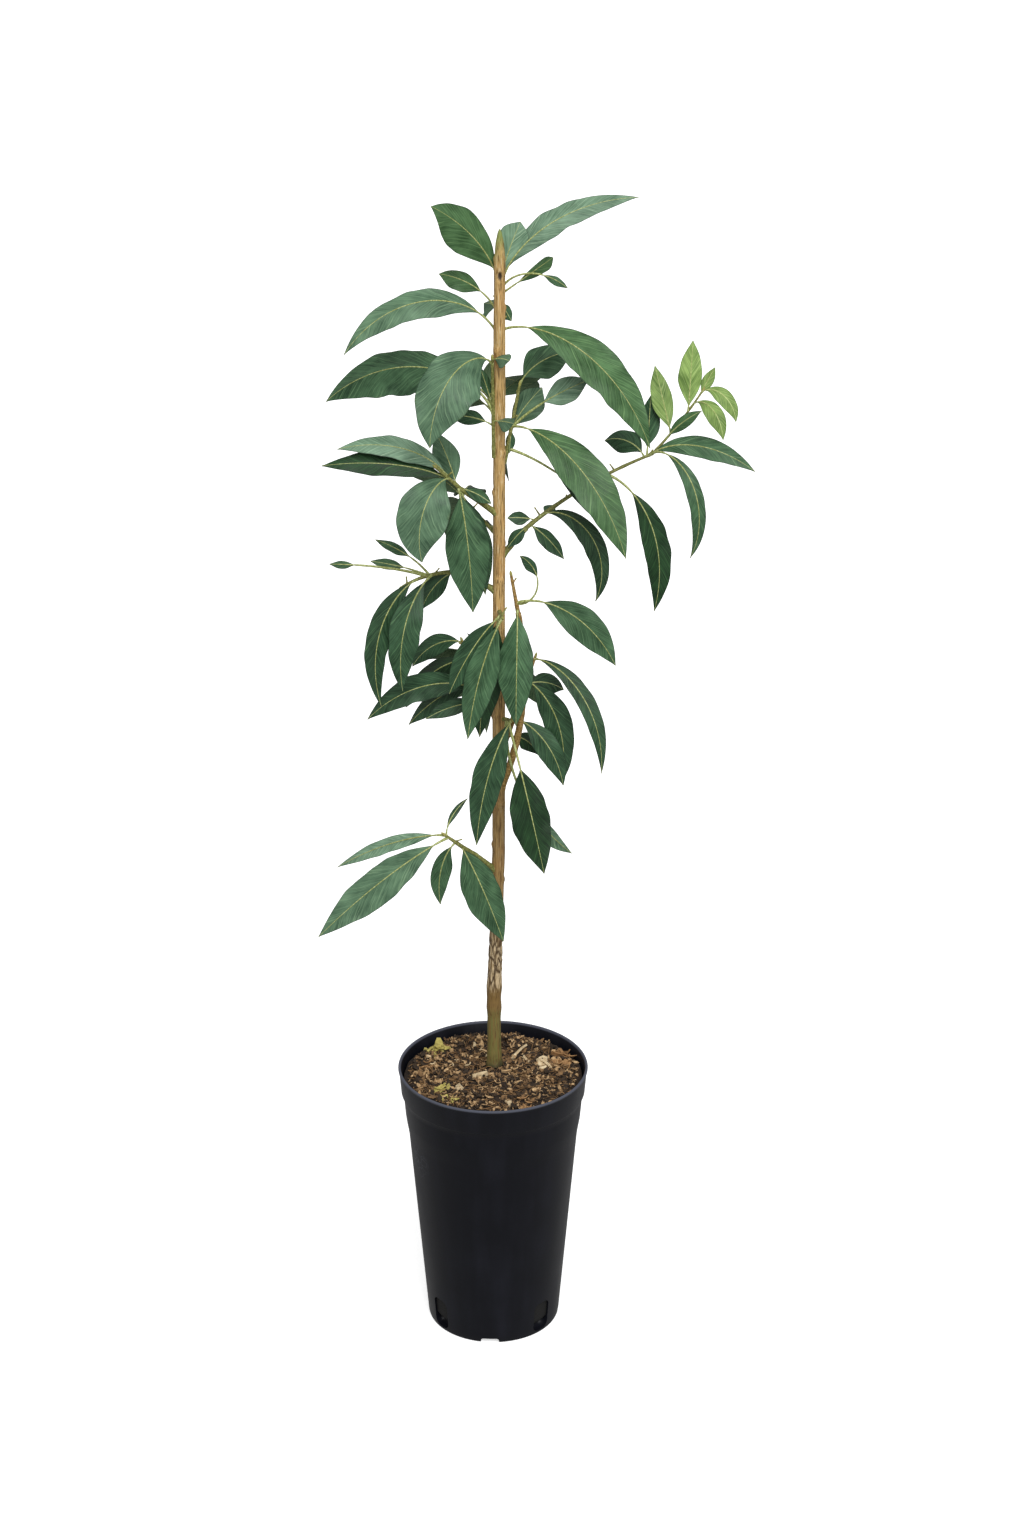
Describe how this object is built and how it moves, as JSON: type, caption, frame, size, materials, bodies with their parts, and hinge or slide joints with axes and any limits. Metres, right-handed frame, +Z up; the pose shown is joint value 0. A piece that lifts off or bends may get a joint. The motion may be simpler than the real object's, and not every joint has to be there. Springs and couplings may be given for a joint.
{
  "type": "avocado tree in a pot",
  "caption": "Young avocado tree with a slim upright trunk, short side boughs and drooping oval leaves, standing in a tall tapered nursery pot filled with potting mix.",
  "frame": {"origin": "centre of the pot's flat underside, where it stands", "axes": "+Z up along the trunk, -Y the front, +X the right as seen from the front"},
  "size_m": [0.3676, 0.2207, 1.0317],
  "materials": {
    "pot": "satin black moulded plastic",
    "mix": "loose bark and coir mix, matt",
    "trunk_bark": "tan bark with fine streaks and cracks",
    "bough_bark": "young brown to olive-green bark",
    "leaf": "leathery grey-green leaf, soft sheen"
  },
  "bodies": {
    "root": {"pot": "pot", "potting_mix": "mix", "trunk": "trunk_bark", "bough_right_long": "bough_bark", "bough_left_upper": "bough_bark", "bough_left_middle": "bough_bark", "bough_left_low": "bough_bark", "bough_right_side": "bough_bark", "foliage_crown_top": "leaf", "foliage_right_spur": "leaf", "foliage_left_spur": "leaf", "foliage_left_upper": "leaf", "foliage_right_long": "leaf", "foliage_left_middle": "leaf", "foliage_front": "leaf", "foliage_right_side": "leaf", "foliage_right_low": "leaf", "foliage_low_front": "leaf", "foliage_left_low": "leaf", "foliage_left_back": "leaf", "foliage_back_high": "leaf", "foliage_back_middle": "leaf", "foliage_back_low": "leaf"}
  },
  "joints": []
}
